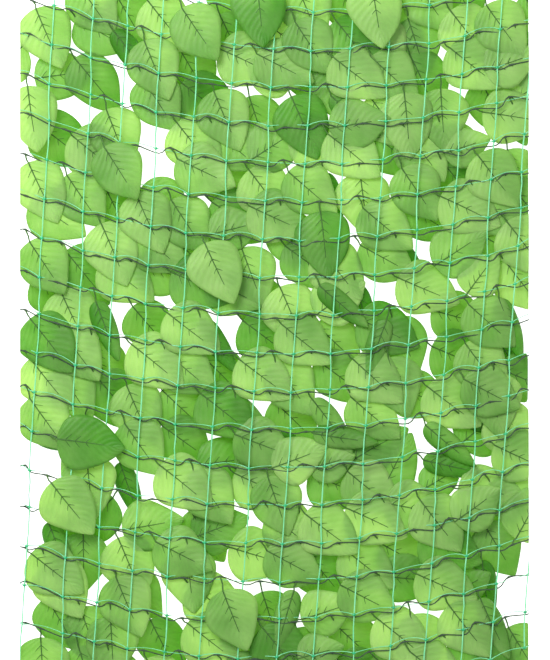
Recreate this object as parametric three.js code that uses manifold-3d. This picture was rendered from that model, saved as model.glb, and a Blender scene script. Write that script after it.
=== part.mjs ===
// Artificial hedge screen: a cut length of a square-mesh net with plastic vines tied
// behind it, each vine carrying broad cloth leaves. It lies leaves down, net up.
// X runs across the screen, Y up the screen, Z from the leaves to the net. Millimetres.
import * as THREE from 'three';
import { mergeVertices } from 'three/addons/utils/BufferGeometryUtils.js';
import Module from 'manifold-3d';

const wasm = await Module();
wasm.setup();

// The cut length, measured from the middle of the panel
const HALF_WIDTH = 331;
const TOP = 484;
const BOTTOM = -450;

// Net: where each upright strand crosses the middle of the panel, and the strand itself
const STRAND_X = [-357, -308, -256, -213, -168, -121, -74, -22, 27, 76, 127, 176, 223, 269, 309, 351, 399];
const STRAND_LEAN = 24.8;
const STRAND_FAN = 3.6;
const STRAND_WIDE = 1.8;
const STRAND_THICK = 1.2;
const NET_Z = 36;
const WANDER = 1.6;

// Rows of the net hang in a shallow curve
const ROW_TOP = 463;
const ROW_PITCH = 49.4;
const ROW_SAG = 51.4;
const SAG_HALF = 325;

// Vines: a thin stem just behind each row, a little below it
const VINE_Z = 34.4;
const VINE_R = 1.2;
const VINE_BELOW = 3.6;
const NODE_IN_BAY = 0.42;
const NODE_LONG = 1.4;

// Leaves: a stalk, then a broad pointed blade, ridged along its midrib
const STALK = 8;
const LEAF_LONG = 86;
const LEAF_WIDE = 68;
const LEAF_THICK = 1.6;
const FOLDED = 0.55;
const BLADE_TOP_Z = 30.5;
const OVER_NET_Z = 38.4;
const ROLL = 0.09;
const CLEAR = 0.5;

// Blade outline: how far along the blade, how wide there, and how far it has sunk
const ALONG = [0, 0.1, 0.4, 0.75, 1];
const WIDTH = [0.03, 0.7, 1, 0.66, 0];
const SUNK = [0, 0.2, 0.7, 1, 1];

// Which way each leaf points, in degrees; a capital letter lies over the net,
// and a mark before the letter is a leaf folded along its midrib
const WAY = { a: -85, b: -68, c: -54, d: -40, e: -26, f: -10, g: 12, h: 35, i: 60, j: 88, k: -110, l: -140 };
const VINES = [
  ". . . . . c A b c A c b c . .",
  "d c c c C b d c c be b c c d .",
  "b e 'c b c e e c da d b d e b .",
  "l c . c d b bg b 'd hc a a bh . .",
  "ga . b h c d h e gd d c c f hd .",
  "d d C . e d ch d 'b a c ch c b .",
  "b ch b be c ei e b a d e e d c .",
  "e . b d d Bh b d c e 'b . e c .",
  "c c d f e e d b 'd 'b e hl . c .",
  "e b 'b c d 'c d d dh e 'kb f hd 'b .",
  "c ch b d di di d c d e bh e c 'c .",
  "c c c b d d 'c d 'c d f di ei ea .",
  "c g 'k c d . f 'd 'f c . 'd 'f c .",
  "'f F a 'b d cg he hb he hd h 'f h e k",
  ". C . l . c h d ad e fi hc f e l",
  ". 'b a bg e ha f e ci d e e hf c .",
  "d ib . bd l d B b 'k e f e . 'a i",
  ". c hb a b d e c hb d d b hc 'b .",
  ". ha hb b b ci id gd hd d hd hd e gd c",
];

// A repeatable number from 0 to 1 for three whole numbers
function chance(a, b, c) {
  let n = 1 + a * 7919 + b * 104729 + c * 1299709;
  for (let i = 0; i < 3; i++) n = (n * 16807) % 2147483647;
  return n / 2147483647;
}

function rowY(x, row) {
  const low = 66.6 - 5.1 * row;
  return ROW_TOP - ROW_PITCH * row + ROW_SAG * ((x - low) / SAG_HALF) ** 2;
}

function strandX(strand, y) {
  const t = y / 429;
  return STRAND_X[strand] + STRAND_LEAN * t + STRAND_FAN * t * STRAND_X[strand] / 351;
}

function knot(strand, row) {
  let x = STRAND_X[strand];
  for (let i = 0; i < 4; i++) x = strandX(strand, rowY(x, row));
  const dx = WANDER * (2 * chance(strand, row + 2, 1) - 1);
  const dy = WANDER * (2 * chance(strand, row + 2, 2) - 1);
  return [x + dx, rowY(x, row) + dy];
}

// Solids are joined and cut as closed bodies
function solid(geometry) {
  const bare = geometry.clone();
  bare.deleteAttribute('normal');
  bare.deleteAttribute('uv');
  const merged = mergeVertices(bare, 1e-4);
  return new wasm.Manifold(new wasm.Mesh({
    numProp: 3,
    vertProperties: new Float32Array(merged.attributes.position.array),
    triVerts: new Uint32Array(merged.index.array),
  }));
}

function geometryOf(body) {
  const mesh = body.getMesh();
  const out = new THREE.BufferGeometry();
  out.setAttribute('position', new THREE.BufferAttribute(new Float32Array(mesh.vertProperties), 3));
  out.setIndex(new THREE.BufferAttribute(new Uint32Array(mesh.triVerts), 1));
  out.computeVertexNormals();
  return out;
}

const panelBox = new THREE.BoxGeometry(2 * HALF_WIDTH, TOP - BOTTOM, 200);
panelBox.translate(0, (TOP + BOTTOM) / 2, 0);
const panel = solid(panelBox);
const sidesBox = new THREE.BoxGeometry(2 * HALF_WIDTH, 1600, 200);
const sides = solid(sidesBox);

// The net: a flat lattice with one hole for each bay, cut to the panel
function makeNet() {
  const sheet = new THREE.Shape();
  sheet.moveTo(-460, -560);
  sheet.lineTo(480, -560);
  sheet.lineTo(480, 640);
  sheet.lineTo(-460, 640);
  sheet.closePath();
  const h = STRAND_WIDE / 2;
  for (let row = -1; row < 20; row++) {
    for (let s = 0; s + 1 < STRAND_X.length; s++) {
      const corners = [
        [knot(s, row), h, -h],
        [knot(s + 1, row), -h, -h],
        [knot(s + 1, row + 1), -h, h],
        [knot(s, row + 1), h, h],
      ];
      const hole = new THREE.Path();
      corners.forEach(([p, dx, dy], i) => {
        if (i === 0) hole.moveTo(p[0] + dx, p[1] + dy);
        else hole.lineTo(p[0] + dx, p[1] + dy);
      });
      hole.closePath();
      sheet.holes.push(hole);
    }
  }
  const lattice = new THREE.ExtrudeGeometry(sheet, { depth: STRAND_THICK, bevelEnabled: false });
  lattice.translate(0, 0, NET_Z);
  return solid(lattice).intersect(panel);
}

// The places along one vine where leaves grow
function vineNodes(row) {
  const found = [];
  for (let bay = 0; bay + 2 < STRAND_X.length; bay++) {
    const left = knot(bay, row);
    const right = knot(bay + 1, row);
    let x = left[0] + NODE_IN_BAY * (right[0] - left[0]) + 4 * (chance(bay, row, 3) - 0.5);
    if (bay === 0) x = Math.max(x, -HALF_WIDTH + 7);
    if (bay === 1 && found.length && x < found[0][0] + 18) x = found[0][0] + 18;
    const y = rowY(x, row) - VINE_BELOW + 3 * (chance(bay, row, 4) - 0.5);
    if (Math.abs(x) < HALF_WIDTH - 5 && y < TOP - 6) found.push([x, y, bay]);
  }
  return found;
}

// A leaf is a blade in plan with a height at each station along it
function makeLeaf(row, node, order, mark) {
  const fold = mark[0] === "'";
  const letter = mark[mark.length - 1];
  const over = letter !== letter.toLowerCase();
  const way = WAY[letter.toLowerCase()];
  const n = order * 40 + node[2];
  return {
    row,
    over,
    upward: way > 0,
    x: node[0],
    y: node[1],
    way: way + 10 * (chance(n, row, 5) - 0.5),
    long: LEAF_LONG * (0.9 + 0.14 * chance(n, row, 6)),
    half: LEAF_WIDE / 2 * (0.92 + 0.12 * chance(n, row, 7)) * (fold ? FOLDED : 1),
  };
}

// Gives a leaf its heights: base and tip of the blade, and a roll that dies out at the tip
function pose(leaf, turn, base, tip, size, flat) {
  const angle = (leaf.way + turn) * Math.PI / 180;
  return {
    ...leaf,
    c: Math.cos(angle),
    s: Math.sin(angle),
    long: leaf.long * size,
    half: leaf.half * size,
    base,
    z: SUNK.map((k, i) => base + (tip - base) * (flat ? ALONG[i] : k)),
    roll: SUNK.map((k) => (leaf.over ? 0 : ROLL) * (1 - k)),
  };
}

// Half width, underside height and roll at a distance along the blade
function station(leaf, u) {
  let i = 0;
  while (i < 3 && u > ALONG[i + 1]) i++;
  const t = (u - ALONG[i]) / (ALONG[i + 1] - ALONG[i]);
  return {
    half: leaf.half * (WIDTH[i] + t * (WIDTH[i + 1] - WIDTH[i])),
    z: leaf.z[i] + t * (leaf.z[i + 1] - leaf.z[i]),
    roll: leaf.roll[i] + t * (leaf.roll[i + 1] - leaf.roll[i]),
  };
}

// Underside and upper side of the leaf over a point, or nothing when it is clear of it
function heightAt(leaf, x, y) {
  const dx = x - leaf.x;
  const dy = y - leaf.y;
  const along = dx * leaf.c + dy * leaf.s;
  const across = dy * leaf.c - dx * leaf.s;
  const u = (along - STALK) / leaf.long;
  if (u > 1.02 || along < 2) return null;
  if (u < 0) {
    if (Math.abs(across) > 3) return null;
    const z = VINE_Z + (leaf.base - VINE_Z) * along / STALK;
    return [z - 1, z + 1.4];
  }
  const here = station(leaf, Math.min(u, 1));
  if (Math.abs(across) > here.half + 2) return null;
  const z = here.z - here.roll * across;
  const ridge = LEAF_THICK * Math.max(0, 1 - Math.abs(across) / (here.half + 0.01));
  return [z, z + ridge];
}

// Points over the whole leaf, each with its underside and upper side
const FINE = 20;
function samples(leaf) {
  const out = [];
  for (let i = -2; i <= FINE; i++) {
    const u = i / FINE;
    const along = i < 0 ? STALK + i * 4 : STALK + u * leaf.long;
    const sideways = i < 0 || i === FINE ? [0] : [-1, -0.67, -0.33, 0, 0.33, 0.67, 1];
    for (const v of sideways) {
      const across = i < 0 ? 0 : v * station(leaf, u).half;
      const x = leaf.x + along * leaf.c - across * leaf.s;
      const y = leaf.y + along * leaf.s + across * leaf.c;
      const high = heightAt(leaf, x, y);
      if (high) out.push([x, y, high[0], high[1]]);
    }
  }
  return out;
}

// True when the leaf stays wholly above or wholly below each leaf already placed,
// and under every other vine's stem
function fits(leaf, placed) {
  const mine = samples(leaf);
  if (!leaf.over) {
    for (const [x, y, , high] of mine) {
      for (let row = leaf.row - 2; row <= leaf.row + 2; row++) {
        if (row === leaf.row) continue;
        if (Math.abs(y - rowY(x, row) + VINE_BELOW) < 5 && high > VINE_Z - VINE_R - CLEAR) return false;
      }
    }
  }
  for (const other of placed) {
    if (other.over !== leaf.over) continue;
    if (Math.hypot(other.x - leaf.x, other.y - leaf.y) > 190) continue;
    const twin = other.x === leaf.x && other.y === leaf.y;
    let side = 0;
    for (const [list, blade, sign] of [[mine, other, 1], [other.points, leaf, -1]]) {
      for (const [x, y, low, high] of list) {
        const there = heightAt(blade, x, y);
        if (!there) continue;
        if (twin && Math.hypot(x - leaf.x, y - leaf.y) < STALK + 8) continue;
        let now = 0;
        if (low - there[1] > CLEAR) now = sign;
        if (there[0] - high > CLEAR) now = -sign;
        if (now === 0 || now * side < 0) return false;
        side = now;
      }
    }
  }
  return true;
}

// Finds a height, then a small turn or a smaller size, at which the leaf lies clear
function settle(leaf, placed) {
  const tips = leaf.upward ? [27, 24, 21, 18, 14, 10, 5, 0] : [0, 2.5, 5, 7.5, 10, 13, 16, 20];
  const tries = [];
  for (const size of [1, 0.88, 0.76]) {
    for (const turn of [0, 9, -9, 18, -18]) {
      for (const drop of [0, 4]) {
        for (const tip of tips) {
          for (const flat of leaf.upward ? [true, false] : [false, true]) tries.push([size, turn, drop, tip, flat]);
        }
      }
    }
  }
  for (const [size, turn, drop, tip, flat] of tries) {
    const base = leaf.over ? OVER_NET_Z : BLADE_TOP_Z - drop;
    const height = leaf.over ? OVER_NET_Z + 1.5 + tip / 10 : Math.min(tip, base);
    const tried = pose(leaf, turn, base, height, size, flat);
    if (fits(tried, placed)) {
      tried.points = samples(tried);
      return tried;
    }
  }
  return null;
}

// The three corners across a leaf at a station: right edge, left edge, ridge
function leafRing(leaf, i) {
  const along = STALK + ALONG[i] * leaf.long;
  const half = leaf.half * WIDTH[i];
  const at = (across, z) => [
    leaf.x + along * leaf.c - across * leaf.s,
    leaf.y + along * leaf.s + across * leaf.c,
    z,
  ];
  const z = leaf.z[i];
  const roll = leaf.roll[i];
  return [at(-half, z + roll * half), at(half, z - roll * half), at(0, z + LEAF_THICK)];
}

// A vine as one closed skin: the three-sided stem, with each leaf grown out of a corner
// of the short piece of stem at its node
function vineGeometry(row, nodes, leaves) {
  const points = [];
  const faces = [];
  const add = (ring) => ring.map((p) => points.push(p) - 1);
  const bridge = (from, to) => {
    for (let k = 0; k < 3; k++) {
      const m = (k + 1) % 3;
      faces.push(from[k], from[m], to[m], from[k], to[m], to[k]);
    }
  };
  const stemRing = (x, y) => [
    [x, y - 0.87 * VINE_R, VINE_Z - 0.5 * VINE_R],
    [x, y + 0.87 * VINE_R, VINE_Z - 0.5 * VINE_R],
    [x, y, VINE_Z + VINE_R],
  ];
  const grow = (leaf, a, b, c) => {
    const first = leafRing(leaf, 0);
    const away = (turn) => [a, b, c].reduce((sum, corner, k) => {
      const p = points[corner];
      const q = first[(k + turn) % 3];
      return sum + Math.hypot(p[0] - q[0], p[1] - q[1], p[2] - q[2]) ** 2;
    }, 0);
    const turn = [0, 1, 2].reduce((best, t) => (away(t) < away(best) ? t : best), 0);
    let ring = [a, b, c];
    for (let i = 0; i < 4; i++) {
      const next = leafRing(leaf, i);
      const turned = add([0, 1, 2].map((k) => next[(k + turn) % 3]));
      bridge(ring, turned);
      ring = turned;
    }
    const end = leafRing(leaf, 4)[0];
    const tip = points.push(end) - 1;
    for (let k = 0; k < 3; k++) faces.push(ring[k], ring[(k + 1) % 3], tip);
  };

  const first = nodes[0];
  const last = nodes[nodes.length - 1];
  const leftEnd = first[0] < -HALF_WIDTH + 45 ? -HALF_WIDTH - 5 : first[0] - 14;
  const rightEnd = last[0] > HALF_WIDTH - 60 ? HALF_WIDTH + 5 : last[0] + 14;
  let ring = add(stemRing(leftEnd, rowY(leftEnd, row) - VINE_BELOW));
  faces.push(ring[0], ring[2], ring[1]);
  for (const node of nodes) {
    const before = add(stemRing(node[0] - NODE_LONG, node[1]));
    const after = add(stemRing(node[0] + NODE_LONG, node[1]));
    bridge(ring, before);
    const here = leaves.filter((leaf) => leaf.x === node[0] && leaf.y === node[1]);
    const below = here.filter((leaf) => !leaf.over).sort((p, q) => p.way - q.way);
    const over = here.find((leaf) => leaf.over);
    if (below.length === 1 && below[0].way > -20) below.unshift(null);
    const [m, p, t] = before;
    const [m2, p2, t2] = after;
    const place = (leaf, a, b, c) => (leaf ? grow(leaf, a, b, c) : faces.push(a, b, c));
    place(below[0], m, p, m2);
    place(below[1], p, p2, m2);
    place(over, t, m, m2);
    faces.push(t, m2, t2, p, t, t2, p, t2, p2);
    ring = after;
  }
  const end = add(stemRing(rightEnd, rowY(rightEnd, row) - VINE_BELOW));
  bridge(ring, end);
  faces.push(end[0], end[1], end[2]);

  const out = new THREE.BufferGeometry();
  out.setAttribute('position', new THREE.BufferAttribute(new Float32Array(points.flat()), 3));
  out.setIndex(faces);
  return out;
}

const group = new THREE.Group();

const net = new THREE.Mesh(
  geometryOf(makeNet()),
  new THREE.MeshStandardMaterial({ color: 0x64dc96, roughness: 0.45, metalness: 0 }),
);
net.name = 'net';
group.add(net);

const placed = [];
VINES.forEach((text, row) => {
  const marks = text.split(' ');
  const nodes = vineNodes(row);
  const wanted = [];
  for (const node of nodes) {
    (marks[node[2]].match(/'?[a-zA-Z]/g) || []).forEach((mark, order) => {
      wanted.push(makeLeaf(row, node, order, mark));
    });
  }
  wanted.sort((a, b) => a.upward - b.upward);
  const mine = [];
  for (const leaf of wanted) {
    const done = settle(leaf, placed);
    if (done) placed.push(done);
    if (done) mine.push(done);
  }
  const body = solid(vineGeometry(row, nodes, mine));
  const vine = new THREE.Mesh(
    geometryOf(body.intersect(sides)),
    new THREE.MeshStandardMaterial({ color: 0x7db657, roughness: 0.6, metalness: 0 }),
  );
  vine.name = `vine_${String(row + 1).padStart(2, '0')}`;
  group.add(vine);
});

// The origin is under the middle of the panel, on the surface it lies on
const box = new THREE.Box3().setFromObject(group);
group.position.set(-(box.min.x + box.max.x) / 2, -(box.min.y + box.max.y) / 2, -box.min.z);

export default group;
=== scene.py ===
"""Artificial hedge screen: cloth leaves on moulded stems, laced behind a plastic net.

The screen lies on its leaves with its net on top, and the camera looks straight down on it.
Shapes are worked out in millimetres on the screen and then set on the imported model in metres.
"""

import math

import bmesh
import bpy
import numpy as np
from mathutils import Matrix, Vector


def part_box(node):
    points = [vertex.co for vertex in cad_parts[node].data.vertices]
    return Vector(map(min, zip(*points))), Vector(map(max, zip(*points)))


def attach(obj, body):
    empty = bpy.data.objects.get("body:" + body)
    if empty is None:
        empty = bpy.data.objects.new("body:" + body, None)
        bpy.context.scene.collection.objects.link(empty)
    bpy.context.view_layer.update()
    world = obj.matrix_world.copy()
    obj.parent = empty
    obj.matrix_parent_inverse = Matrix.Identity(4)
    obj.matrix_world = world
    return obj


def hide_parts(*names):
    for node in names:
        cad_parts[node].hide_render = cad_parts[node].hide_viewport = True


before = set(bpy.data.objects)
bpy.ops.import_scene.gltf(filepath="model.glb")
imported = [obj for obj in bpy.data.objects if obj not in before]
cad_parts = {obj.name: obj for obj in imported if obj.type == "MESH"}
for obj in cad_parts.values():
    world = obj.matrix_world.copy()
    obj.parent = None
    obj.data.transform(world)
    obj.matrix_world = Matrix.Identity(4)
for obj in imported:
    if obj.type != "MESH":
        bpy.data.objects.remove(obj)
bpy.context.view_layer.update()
_, net_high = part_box("net")


# Camera, lights and floor
# The camera hangs far above the screen, so near and far leaves keep the same scale.
# A wide pale floor shines softly through the leaves, as a white table does.

PIXEL = 0.0013
VIEW_CENTRE = Vector((0.00065, 0.0106, 0.0366))
TOP = 484
SHIFT_Y = net_high.y * 1000 - TOP
CAMERA_HEIGHT = 5.0

camera = bpy.data.objects.new("camera", bpy.data.cameras.new("camera"))
bpy.context.scene.collection.objects.link(camera)
camera.location = VIEW_CENTRE + Vector((0, 0, CAMERA_HEIGHT))
camera.data.sensor_width = 36
camera.data.lens = 36 * CAMERA_HEIGHT / (660 * PIXEL)
camera.data.clip_end = 50
bpy.context.scene.camera = camera
bpy.context.scene.view_settings.view_transform = "Standard"


class Signal:
    """One value inside a material. Sums and products on it add their Math nodes."""

    def __init__(self, tree, socket=None):
        self.tree = tree
        self.socket = socket

    def node(self, kind, settings=None, inputs=None, output=0):
        """Adds a node: its settings first, then what feeds its sockets."""
        made = self.tree.nodes.new(kind)
        for name, value in (settings or {}).items():
            if name == "stops":
                while len(made.color_ramp.elements) < len(value):
                    made.color_ramp.elements.new(0.5)
                for stop, (place, colour) in zip(made.color_ramp.elements, value):
                    stop.position = place
                    stop.color = (*colour, 1)
            else:
                setattr(made, name, value)
        for name, value in (inputs or {}).items():
            if isinstance(value, Signal):
                self.tree.links.new(value.socket, made.inputs[name])
            else:
                made.inputs[name].default_value = value
        return Signal(self.tree, made.outputs[output] if made.outputs else None)

    def math(self, operation, first, second=0.0):
        return self.node("ShaderNodeMath", {"operation": operation}, {0: first, 1: second})

    def __add__(self, other):
        return self.math("ADD", self, other)

    def __sub__(self, other):
        return self.math("SUBTRACT", self, other)

    def __rsub__(self, other):
        return self.math("SUBTRACT", other, self)

    def __mul__(self, other):
        return self.math("MULTIPLY", self, other)

    __radd__ = __add__
    __rmul__ = __mul__

    def blend(self, low, high):
        """A colour between two, by this value."""
        return self.node(
            "ShaderNodeMix", {"data_type": "RGBA", "clamp_factor": True}, {0: self, 6: low, 7: high}, 2
        )


def finish_named(name):
    """A new empty material, as the signal that its nodes are added from."""
    material = bpy.data.materials.new(name)
    material.use_nodes = True
    material.node_tree.nodes.clear()
    return material, Signal(material.node_tree)


def paint(red, green, blue):
    """A colour as seen on a screen, 0 to 255, as the linear one that shaders use."""
    parts = [c / 255 for c in (red, green, blue)]
    return (*[c / 12.92 if c < 0.04045 else ((c + 0.055) / 1.055) ** 2.4 for c in parts], 1)


def piece_from(bm, name):
    """Makes an object of a mesh worked in millimetres on the screen, in its place in metres."""
    bmesh.ops.translate(bm, verts=bm.verts, vec=(0, SHIFT_Y, 0))
    bmesh.ops.scale(bm, verts=bm.verts, vec=(0.001, 0.001, 0.001))
    mesh = bpy.data.meshes.new(name)
    bm.to_mesh(mesh)
    bm.free()
    made = bpy.data.objects.new(name, mesh)
    bpy.context.scene.collection.objects.link(made)
    for face in mesh.polygons:
        face.use_smooth = True
    return made


floor_bm = bmesh.new()
bmesh.ops.create_grid(floor_bm, x_segments=1, y_segments=1, size=6000)
bmesh.ops.translate(floor_bm, verts=floor_bm.verts, vec=(0, 0, -0.6))
floor = piece_from(floor_bm, "floor")
floor_finish, floor_nodes = finish_named("pale_floor")
floor_shader = floor_nodes.node(
    "ShaderNodeBsdfPrincipled",
    None,
    {
        "Base Color": (0.5, 0.5, 0.5, 1),
        "Roughness": 0.9,
        "Emission Color": (1, 1, 1, 1),
        "Emission Strength": 1.15,
    },
)
floor_nodes.node("ShaderNodeOutputMaterial", None, {"Surface": floor_shader})
floor.data.materials.append(floor_finish)

world = bpy.data.worlds.new("studio")
world.use_nodes = True
world.node_tree.nodes["Background"].inputs["Color"].default_value = (1, 1, 1, 1)
world.node_tree.nodes["Background"].inputs["Strength"].default_value = 0.68
bpy.context.scene.world = world

key_light = bpy.data.objects.new("key_light", bpy.data.lights.new("key_light", "AREA"))
key_light.data.energy = 72
key_light.data.size = 1.2
key_light.location = (-0.9, 1.3, 2.2)
key_light.rotation_euler = (-key_light.location).to_track_quat("-Z", "Y").to_euler()
bpy.context.scene.collection.objects.link(key_light)


# Net
# One moulded plastic net: seventeen uprights, and thin cross strands that bow from
# knot to knot and hang a little in between. Its knots are thick little stars.

HALF_WIDTH = 331
BOTTOM = -450
STRAND_X = [-357, -308, -256, -213, -168, -121, -74, -22, 27, 76, 127, 176, 223, 269, 309, 351, 399]
STRAND_LEAN = 24.8
STRAND_FAN = 3.6
WANDER = 1.6
ROW_TOP = 463
ROW_PITCH = 49.4
ROW_SAG = 51.4
SAG_HALF = 325
NET_MIDDLE = 36.6
UPRIGHT_RADIUS = 0.84
UPRIGHT_UNEVEN = 0.14
CROSS_SHARES = (0, 0.14, 0.32, 0.5, 0.68, 0.86, 1)
CROSS_RADII = [0.8, 0.5, 0.42, 0.38, 0.42, 0.5, 0.8]
CROSS_BOW = 7.5
CROSS_DIP = 6


def chance(a, b, c):
    """A repeatable number from 0 to 1 for three whole numbers."""
    n = 1 + a * 7919 + b * 104729 + c * 1299709
    for _ in range(3):
        n = n * 16807 % 2147483647
    return n / 2147483647


def row_y(x, row):
    low = 66.6 - 5.1 * row
    return ROW_TOP - ROW_PITCH * row + ROW_SAG * ((x - low) / SAG_HALF) ** 2


def strand_x(strand, y):
    t = y / 429
    return STRAND_X[strand] + STRAND_LEAN * t + STRAND_FAN * t * STRAND_X[strand] / 351


def knot(strand, row):
    """Where an upright crosses a row, with the net's small unevenness."""
    x = STRAND_X[strand]
    for _ in range(4):
        x = strand_x(strand, row_y(x, row))
    dx = WANDER * (2 * chance(strand, row + 2, 1) - 1)
    dy = WANDER * (2 * chance(strand, row + 2, 2) - 1)
    return Vector((x + dx, row_y(x, row) + dy, NET_MIDDLE))


def laid_strands(name, runs):
    """Round strands laid along paths, each with its radius at every point, as one mesh in work."""
    curve = bpy.data.curves.new(name, "CURVE")
    curve.dimensions = "3D"
    curve.bevel_depth = 1
    curve.bevel_resolution = 1
    curve.use_fill_caps = True
    for path, radii in runs:
        spline = curve.splines.new("POLY")
        spline.points.add(len(path) - 1)
        for point, place, radius in zip(spline.points, path, radii):
            point.co = (*place, 1)
            point.radius = radius
    holder = bpy.data.objects.new(name, curve)
    mesh = bpy.data.meshes.new_from_object(holder)
    bm = bmesh.new()
    bm.from_mesh(mesh)
    bpy.data.objects.remove(holder)
    bpy.data.curves.remove(curve)
    bpy.data.meshes.remove(mesh)
    return bm


def gather(whole, part):
    """Adds one mesh in work to another."""
    loose = bpy.data.meshes.new("part")
    part.to_mesh(loose)
    part.free()
    whole.from_mesh(loose)
    bpy.data.meshes.remove(loose)


def trimmed(bm, ends=None, closed=True):
    """Cuts a mesh off at the screen's two sides, and at its two ends if they are given."""
    cuts = [((HALF_WIDTH, 0, 0), (1, 0, 0)), ((-HALF_WIDTH, 0, 0), (-1, 0, 0))]
    if ends:
        cuts += [((0, ends[0], 0), (0, -1, 0)), ((0, ends[1], 0), (0, 1, 0))]
    for place, away in cuts:
        cut = bmesh.ops.bisect_plane(
            bm,
            geom=bm.verts[:] + bm.edges[:] + bm.faces[:],
            plane_co=place,
            plane_no=away,
            clear_outer=True,
        )["geom_cut"]
        if closed:
            rim = [g for g in cut if isinstance(g, bmesh.types.BMEdge)]
            bmesh.ops.holes_fill(bm, edges=rim, sides=0)


net_runs = []
last_row = 19
for s in range(len(STRAND_X)):
    path = []
    for row in range(-1, last_row):
        here = knot(s, row)
        below = knot(s, row + 1)
        path.append(here)
        for share in (0.33, 0.67):
            sway = 0.9 * (2 * chance(s, row + 3, int(share * 10)) - 1)
            path.append(here.lerp(below, share) + Vector((sway, 0, 0)))
    path.append(knot(s, last_row))
    waver = [UPRIGHT_UNEVEN * math.sin(i * 2.1 + s) for i in range(len(path))]
    net_runs.append((path, [UPRIGHT_RADIUS + w for w in waver]))
for row in range(-1, last_row + 1):
    for s in range(len(STRAND_X) - 1):
        here = knot(s, row)
        there = knot(s + 1, row)
        rise = CROSS_BOW * chance(s, row + 2, 8) - 0.5
        dip = CROSS_DIP * chance(s, row + 2, 20)
        path = []
        for share in CROSS_SHARES:
            bow = 4 * share * (1 - share)
            path.append(here.lerp(there, share) + Vector((0, rise * bow, -0.2 - dip * bow)))
        net_runs.append((path, CROSS_RADII))
net_bm = laid_strands("net_strands", net_runs)
trimmed(net_bm, ends=(BOTTOM, TOP))
for row in range(-1, last_row + 1):
    stars = bmesh.new()
    for s in range(len(STRAND_X)):
        place = knot(s, row)
        if abs(place.x) > HALF_WIDTH - 3 or not BOTTOM + 3 < place.y < TOP - 3:
            continue
        star = bmesh.ops.create_uvsphere(stars, u_segments=8, v_segments=5, radius=1)["verts"]
        for v in star:
            reach = math.hypot(v.co.x, v.co.y)
            corner = abs(math.cos(2 * math.atan2(v.co.y, v.co.x)))
            v.co.x *= 1.8 + 1.7 * corner * reach
            v.co.y *= 1.8 + 1.3 * corner * reach
            v.co.z *= 1.25
        tilt = Matrix.Rotation(0.5 * (chance(s, row + 2, 9) - 0.5), 4, "Z")
        bmesh.ops.transform(stars, matrix=Matrix.Translation(place) @ tilt, verts=star)
    for face in stars.faces:
        face.material_index = 1
    gather(net_bm, stars)
net = piece_from(net_bm, "net_strands")

mint_finish, mint = finish_named("mint_strand")
spots = mint.node("ShaderNodeTexCoord", None, None, 3)
grain = mint.node("ShaderNodeTexNoise", None, {"Vector": spots, "Scale": 90, "Detail": 2})
mint_colour = grain.blend(paint(96, 220, 148), paint(176, 248, 206))
mint_plastic = mint.node(
    "ShaderNodeBsdfPrincipled",
    None,
    {"Base Color": mint_colour, "Roughness": 0.35, "IOR": 1.5},
)
mint_through = mint.node("ShaderNodeBsdfTranslucent", None, {"Color": mint_colour})
mint_mix = mint.node("ShaderNodeMixShader", None, {0: 0.25, 1: mint_plastic, 2: mint_through})
mint.node("ShaderNodeOutputMaterial", None, {"Surface": mint_mix})

teal_finish, teal = finish_named("teal_knot")
spots = teal.node("ShaderNodeTexCoord", None, None, 3)
grain = teal.node("ShaderNodeTexNoise", None, {"Vector": spots, "Scale": 160, "Detail": 2})
teal_colour = grain.blend(paint(10, 132, 78), paint(48, 200, 132))
teal_plastic = teal.node(
    "ShaderNodeBsdfPrincipled",
    None,
    {"Base Color": teal_colour, "Roughness": 0.3, "IOR": 1.5},
)
teal.node("ShaderNodeOutputMaterial", None, {"Surface": teal_plastic})
net.data.materials.append(mint_finish)
net.data.materials.append(teal_finish)
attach(net, "root")
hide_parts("net")


# Where the leaves grow
# Each mesh of the net has a joint of the stem with up to two leaves. A letter gives the
# way a leaf points; a capital lies over the net, and a mark before it is a folded leaf.
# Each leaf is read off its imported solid. Most blades are then laid on the row below.

VINE_Z = 34.4
VINE_BELOW = 3.6
NODE_IN_BAY = 0.42
STALK = 8
LEAF_LONG = 86
LEAF_WIDE = 68
LEAF_THICK = 1.6
FOLDED = 0.55
LYING_LOW = 0.35
LOW_BASE = 20
TOP_LEVEL = 31.5
LEVEL_STEP = 1.1
LEVELS = 8
SECOND_LEAF_LOWER = 0.5
LONGER = 1.05
WIDER = 1.07
ALONG = [0, 0.1, 0.4, 0.75, 1]
WIDTH = [0.03, 0.72, 1, 0.6, 0]
WAY = {
    "a": -85, "b": -68, "c": -54, "d": -40, "e": -26, "f": -10,
    "g": 12, "h": 35, "i": 60, "j": 88, "k": -110, "l": -140,
}
VINES = [
    ". . . . . c A b c A c b c . .",
    "d c c c C b d c c be b c c d .",
    "b e 'c b c e e c da d b d e b .",
    "l c . c d b bg b 'd hc a a bh . .",
    "ga . b h c d h e gd d c c f hd .",
    "d d C . e d ch d 'b a c ch c b .",
    "b ch b be c ei e b a d e e d c .",
    "e . b d d Bh b d c e 'b . e c .",
    "c c d f e e d b 'd 'b e hl . c .",
    "e b 'b c d 'c d d dh e 'kb f hd 'b .",
    "c ch b d di di d c d e bh e c 'c .",
    "c c c b d d 'c d 'c d f di ei ea .",
    "c g 'k c d . f 'd 'f c . 'd 'f c .",
    "'f F a 'b d cg he hb he hd h 'f h e k",
    ". C . l . c h d ad e fi hc f e l",
    ". 'b a bg e ha f e ci d e e hf c .",
    "d ib . bd l d B b 'k e f e . 'a i",
    ". c hb a b d e c hb d d b hc 'b .",
    ". ha hb b b ci id gd hd d hd hd e gd c",
]


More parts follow.
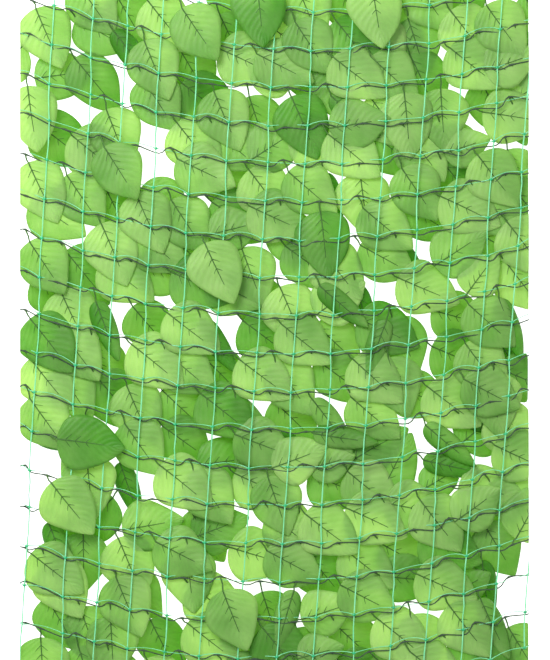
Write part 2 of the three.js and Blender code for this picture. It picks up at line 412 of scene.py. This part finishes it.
def vine_joints(row):
    """The places along one stem where leaves grow, each with the bay that it is in."""
    found = []
    for bay in range(len(STRAND_X) - 2):
        left = knot(bay, row).x
        right = knot(bay + 1, row).x
        x = left + NODE_IN_BAY * (right - left) + 4 * (chance(bay, row, 3) - 0.5)
        if bay == 0:
            x = max(x, -HALF_WIDTH + 7)
        if bay == 1 and found and x < found[0][0] + 18:
            x = found[0][0] + 18
        y = row_y(x, row) - VINE_BELOW + 3 * (chance(bay, row, 4) - 0.5)
        if abs(x) < HALF_WIDTH - 5 and y < TOP - 6:
            found.append((x, y, bay))
    return found


def solid_points(node):
    """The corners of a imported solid, in millimetres on the screen."""
    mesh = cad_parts[node].data
    flat = np.zeros(len(mesh.vertices) * 3)
    mesh.vertices.foreach_get("co", flat)
    return np.unique(np.round(flat.reshape(-1, 3) * 1000 - (0, SHIFT_Y, 0), 3), axis=0)


def corner_height(points, x, y):
    """The height of the solid's highest corner at a place, or nothing."""
    near = np.hypot(points[:, 0] - x, points[:, 1] - y) < 0.02
    return points[near, 2].max() if near.any() else None


def laid_over(heights, n, row, bay):
    """Lays most blades flat on the leaves of the row below, neighbours at levels of their own."""
    if chance(n, row, 9) < LYING_LOW:
        return [(u, min(z, LOW_BASE)) for u, z in heights]
    second = n // 40
    level = TOP_LEVEL - LEVEL_STEP * ((3 * bay + 4 * row) % LEVELS) - SECOND_LEAF_LOWER * second
    return [(0, level), (0.5, level), (1, level - 1)]


def leaf_on(points, row, joint, order, mark):
    """Reads a leaf's way, size, heights and roll off its solid, or nothing where it was left out."""
    n = order * 40 + joint[2]
    folded = mark[0] == "'"
    letter = mark[-1]
    way = WAY[letter.lower()] + 10 * (chance(n, row, 5) - 0.5)
    long = LEAF_LONG * (0.9 + 0.14 * chance(n, row, 6))
    half = LEAF_WIDE / 2 * (0.92 + 0.12 * chance(n, row, 7))
    for size in (1, 0.88, 0.76):
        for turn in (0, 9, -9, 18, -18):
            angle = math.radians(way + turn)
            c, s = math.cos(angle), math.sin(angle)
            heights = []
            rolls = []
            for u, share in zip(ALONG, WIDTH):
                reach = STALK + u * long * size
                x = joint[0] + reach * c
                y = joint[1] + reach * s
                side = half * size * share * (FOLDED if folded else 1)
                ridge = corner_height(points, x, y)
                left = corner_height(points, x - side * s, y + side * c)
                right = corner_height(points, x + side * s, y - side * c)
                if ridge is not None:
                    heights.append((u, ridge - (LEAF_THICK if u < 1 else 0)))
                if side > 2 and left is not None and right is not None:
                    rolls.append((u, (right - left) / (2 * side)))
            if len(heights) >= 2:
                if not letter.isupper():
                    heights = laid_over(heights, n, row, joint[2])
                return {
                    "row": row, "n": n, "x": joint[0], "y": joint[1], "c": c, "s": s,
                    "long": LONGER * long * size, "half": WIDER * half * size, "folded": folded,
                    "over": letter.isupper(), "heights": heights, "rolls": rolls or [(0, 0)],
                }
    return None


vines = []
for row, text in enumerate(VINES):
    marks = text.split()
    joints = vine_joints(row)
    points = solid_points(f"vine_{row + 1:02d}")
    leaves = []
    for joint in joints:
        letters = marks[joint[2]].replace(".", "")
        order = 0
        while letters:
            cut = 2 if letters[0] == "'" else 1
            leaf = leaf_on(points, row, joint, order, letters[:cut])
            if leaf:
                leaves.append(leaf)
            letters = letters[cut:]
            order += 1
    vines.append((joints, leaves))


# Leaves
# Cloth leaves cut in one shape, pressed on the moulded ribs. They lie over each other,
# bend and dip together, and a few are creased along the rib or rolled in at their edges.

EVEN = np.linspace(0, 1, 13)
DOWN_THE_BLADE = 0.5 * EVEN + 0.25 * (1 - np.cos(np.pi * EVEN))
CLOTH = 0.5
LEAF_FILL = 0.69


def outline(u):
    """Half the blade's width along its length, against its widest."""
    return np.clip(u, 0, 1) ** 0.55 * np.clip(1 - u, 0, 1) ** 1.02 / 0.3632


def shared_relief(x, y):
    """The slow rise and fall that all the leaves share where they lie on each other."""
    one = np.sin(x / 13 + 1.7 * np.sin(y / 41)) * np.cos(y / 15 + 1.3 * np.sin(x / 37))
    two = np.sin((x + y) / 8.5 + 2 * np.sin(x / 53)) * np.sin((x - y) / 11)
    return 1.0 * one + 0.55 * two


def along_blade(stations, u):
    """A value read off the solid at its stations, rounded off between them."""
    places = [p for p, _ in stations]
    values = [value for _, value in stations]
    return sum(np.interp(u + d, places, values) for d in (-0.09, -0.04, 0, 0.04, 0.09)) / 5


def blade(leaf, u, v):
    """Points of the leaf for shares along and across it, in millimetres."""
    n, row = leaf["n"], leaf["row"]
    u, v = np.broadcast_arrays(np.asarray(u, float), np.asarray(v, float))
    uneven = 1 + 0.05 * np.sin(9 * u + 6.3 * chance(n, row, 12) + v)
    across = v * leaf["half"] * outline(u) * uneven
    flat_across = across
    drop = 0
    if leaf["folded"]:
        limit = 0.4 * leaf["half"] * outline(u)
        turn = 0.13 * leaf["half"] * np.sqrt(outline(u) + 0.01)
        past = np.clip(np.abs(across) - limit, 0, None)
        angle = np.clip(past / turn, 0, math.pi)
        back = np.clip(past - math.pi * turn, 0, None)
        flat_across = np.sign(across) * (np.minimum(np.abs(across), limit) + turn * np.sin(angle) - back)
        drop = turn * (1 - np.cos(angle))
    reach = STALK + u * leaf["long"]
    bend = 7 * (chance(n, row, 13) - 0.5) * u**2
    side = flat_across + bend
    x = leaf["x"] + reach * leaf["c"] - side * leaf["s"]
    y = leaf["y"] + reach * leaf["s"] + side * leaf["c"]
    roll = along_blade(leaf["rolls"], u)
    z = along_blade(leaf["heights"], u) + 0.6 + 1.8 * (1 - v * v) - roll * flat_across - drop
    ripple = 0.5 * np.sin(u * 11 + 6.3 * chance(n, row, 14)) * v
    z = z + ripple * outline(u)
    settled = np.clip(z / 8, 0, 1)
    z = np.maximum(z + shared_relief(x, y) * settled, 0.3)
    return np.stack([x, y, z], -1)


leaf_finish, cloth = finish_named("leaf_cloth")
spots = cloth.node("ShaderNodeTexCoord", None, None, 3)
# Each leaf's random tone, with painted shade: folded leaves darker, and one half of each blade lighter
# than the other.
tint = cloth.node("ShaderNodeAttribute", {"attribute_name": "tint"}, None, 2)
pleat_phase = cloth.node("ShaderNodeAttribute", {"attribute_name": "pleat"}, None, 2)
pleat = cloth.math("SINE", pleat_phase)
mottle = cloth.node("ShaderNodeTexNoise", None, {"Vector": spots, "Scale": 55, "Detail": 3})
patches = cloth.node("ShaderNodeTexNoise", None, {"Vector": spots, "Scale": 14, "Detail": 2})
weave = cloth.node("ShaderNodeTexNoise", None, {"Vector": spots, "Scale": 900, "Detail": 1})
# Leaf colour from the random tone, noise mottling and the painted shade of folds and blade halves, from
# dark to light green.
leaf_shade = tint * 0.7 + mottle * 0.3 + patches * 0.6 - 0.3
leaf_colour = leaf_shade.blend(paint(74, 146, 34), paint(174, 214, 130))
through_colour = leaf_shade.blend(paint(148, 212, 58), paint(222, 246, 150))
creases = cloth.node(
    "ShaderNodeBump",
    None,
    {
        "Strength": 0.5,
        "Distance": 0.004,
        "Height": patches * 0.8 + mottle * 0.45 + pleat * 0.07 + weave * 0.02,
    },
)
leaf_satin = cloth.node(
    "ShaderNodeBsdfPrincipled",
    None,
    {"Base Color": leaf_colour, "Roughness": 0.48, "IOR": 1.45, "Normal": creases},
)
leaf_through = cloth.node("ShaderNodeBsdfTranslucent", None, {"Color": through_colour, "Normal": creases})
leaf_mix = cloth.node("ShaderNodeMixShader", None, {0: 0.5, 1: leaf_satin, 2: leaf_through})
cloth.node("ShaderNodeOutputMaterial", None, {"Surface": leaf_mix})

for row, (joints, leaves) in enumerate(vines):
    leaf_bm = bmesh.new()
    tone_and_painted_shade_layer = leaf_bm.verts.layers.float.new("tint")
    pleat_layer = leaf_bm.verts.layers.float.new("pleat")
    across = np.linspace(-1, 1, 7)
    for leaf in leaves:
        made = bmesh.ops.create_grid(leaf_bm, x_segments=12, y_segments=6, size=1)["verts"]
        along = np.array([DOWN_THE_BLADE[round(6 * (v.co.x + 1))] for v in made])
        aside = np.array([v.co.y for v in made])
        # A random tone for each leaf, painted darker on folded leaves as painted shade in their folds.
        shade = chance(leaf["n"], row, 11) - (0.6 if leaf["folded"] else 0)
        # Painted light and shade: one half of the blade lighter and the other darker, as if bent along
        # the rib towards the light.
        half_blade_painted_shade = 0.4 * (chance(leaf["n"], row, 18) - 0.5)
        for v, place, v_along, v_across in zip(made, blade(leaf, along, aside), along, aside):
            v.co = place
            v[tone_and_painted_shade_layer] = shade + half_blade_painted_shade * np.sign(v_across)
            v[pleat_layer] = (v_along * leaf["long"] - 0.8 * leaf["half"] * abs(v_across)) / 1.5
    bmesh.ops.remove_doubles(leaf_bm, verts=leaf_bm.verts, dist=0.02)
    trimmed(leaf_bm, closed=False)
    piece = piece_from(leaf_bm, f"leaves_{row + 1:02d}")
    smooth = piece.modifiers.new("smooth", "SUBSURF")
    smooth.levels = smooth.render_levels = 1
    thick = piece.modifiers.new("thick", "SOLIDIFY")
    thick.thickness = CLOTH / 1000
    thick.offset = 0
    piece.data.materials.append(leaf_finish)
    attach(piece, "root")
    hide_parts(f"vine_{row + 1:02d}")
    cut = sum(2 * leaf["half"] * leaf["long"] for leaf in leaves) / 1e6
    strip = LEAF_LONG / 1000
    cut / strip
    cut * LEAF_FILL


# Stems and ribs
# One dark moulding for each row: a stem that dips at the net's uprights and rises to its
# joints, and from each joint the leaves' stalks, which run on as ribs with short side veins.

STEM_RADIUS = 0.8
JOINT_RISE = 10
RIB_END = 0.68


def rounded(points, steps):
    """A smooth path through points, with a few steps from each to the next."""
    points = [Vector(p) for p in points]
    ends = [2 * points[0] - points[1], *points, 2 * points[-1] - points[-2]]
    out = []
    for a, b, c, d in zip(ends, ends[1:], ends[2:], ends[3:]):
        for i in range(steps):
            t = i / steps
            bend = (2 * a - 5 * b + 4 * c - d) * t * t + (3 * b - a - 3 * c + d) * t**3
            out.append(0.5 * (2 * b + (c - a) * t + bend))
    return [*out, points[-1]]


def joint_rise(row, bay):
    """How far the stem bows up at a joint, between the net's uprights."""
    return JOINT_RISE * chance(bay, row, 19)


stem_finish, plastic = finish_named("stem_plastic")
spots = plastic.node("ShaderNodeTexCoord", None, None, 3)
streak = plastic.node("ShaderNodeTexNoise", None, {"Vector": spots, "Scale": 120, "Detail": 3})
stem_colour = streak.blend(paint(22, 40, 26), paint(62, 88, 62))
stem_plastic = plastic.node(
    "ShaderNodeBsdfPrincipled",
    None,
    {"Base Color": stem_colour, "Roughness": 0.55, "IOR": 1.45},
)
plastic.node("ShaderNodeOutputMaterial", None, {"Surface": stem_plastic})

rib_finish, moulded = finish_named("rib_plastic")
spots = moulded.node("ShaderNodeTexCoord", None, None, 3)
streak = moulded.node("ShaderNodeTexNoise", None, {"Vector": spots, "Scale": 150, "Detail": 2})
rib_colour = streak.blend(paint(34, 76, 20), paint(76, 124, 46))
rib_plastic = moulded.node(
    "ShaderNodeBsdfPrincipled",
    None,
    {"Base Color": rib_colour, "Roughness": 0.6, "IOR": 1.45},
)
moulded.node("ShaderNodeOutputMaterial", None, {"Surface": rib_plastic})

for row, (joints, leaves) in enumerate(vines):
    first, last = joints[0], joints[-1]
    left_end = -HALF_WIDTH - 5 if first[0] < -HALF_WIDTH + 45 else first[0] - 14
    right_end = HALF_WIDTH + 5 if last[0] > HALF_WIDTH - 60 else last[0] + 14
    marks = [(x, y + joint_rise(row, bay), VINE_Z) for x, y, bay in joints]
    for s in range(len(STRAND_X)):
        there = knot(s, row)
        x = there.x + 2 + 2 * chance(s, row, 15)
        if left_end + 4 < x < right_end - 4 and min(abs(x - m[0]) for m in marks) > 5:
            below = 2.4 + 4.5 * chance(s, row, 16)
            deeper = 0.3 + 1.6 * chance(s, row, 21)
            marks.append((x, there.y - below, VINE_Z - deeper))
    marks += [(x, row_y(x, row) - VINE_BELOW, VINE_Z) for x in (left_end, right_end)]
    stem = rounded(sorted(marks), 4)
    joint_x = np.array([j[0] for j in joints])
    swell = [STEM_RADIUS + 0.7 * math.exp(-(min(abs(joint_x - p.x)) / 2.2) ** 2) for p in stem]
    stem_bm = laid_strands("stem", [(stem, swell)])

    rib_runs = []
    for leaf in leaves:
        lift = Vector((0, 0, 0.45))
        rib_u = np.linspace(0.02, RIB_END, 9)
        rib = [Vector(p) + lift for p in blade(leaf, rib_u, 0)]
        root_z = VINE_Z + (3 if leaf["over"] else 0)
        root = Vector((leaf["x"], leaf["y"] + joint_rise(row, leaf["n"] % 40), root_z))
        out = Vector((leaf["c"], leaf["s"], 0))
        bow = Vector((-leaf["s"], leaf["c"], 0)) * (3 * (chance(leaf["n"], row, 17) - 0.5))
        stalk = [root, root.lerp(rib[0], 0.5) + bow + out]
        path = [*stalk, *rib]
        rib_runs.append((path, np.interp(range(len(path)), [0, 2, len(path) - 1], [1.15, 0.95, 0.42])))
        for u0, long in ((0.13, 11), (0.27, 10), (0.42, 8)):
            for aside in (-1, 1):
                u1 = u0 + 0.72 * long / leaf["long"]
                v1 = aside * 0.75 * long / leaf["half"] / outline(u1)
                vein = blade(leaf, np.linspace(u0, u1, 4), v1 * np.array([0, 0.38, 0.72, 1]))
                rib_runs.append(([Vector(p) + lift for p in vein], [0.5, 0.42, 0.34, 0.22]))
    rib_bm = laid_strands("rib", rib_runs)
    for face in rib_bm.faces:
        face.material_index = 1
    gather(stem_bm, rib_bm)
    trimmed(stem_bm)
    piece = piece_from(stem_bm, f"stem_{row + 1:02d}")
    piece.data.materials.append(stem_finish)
    piece.data.materials.append(rib_finish)
    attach(piece, "root")
    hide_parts(f"vine_{row + 1:02d}")
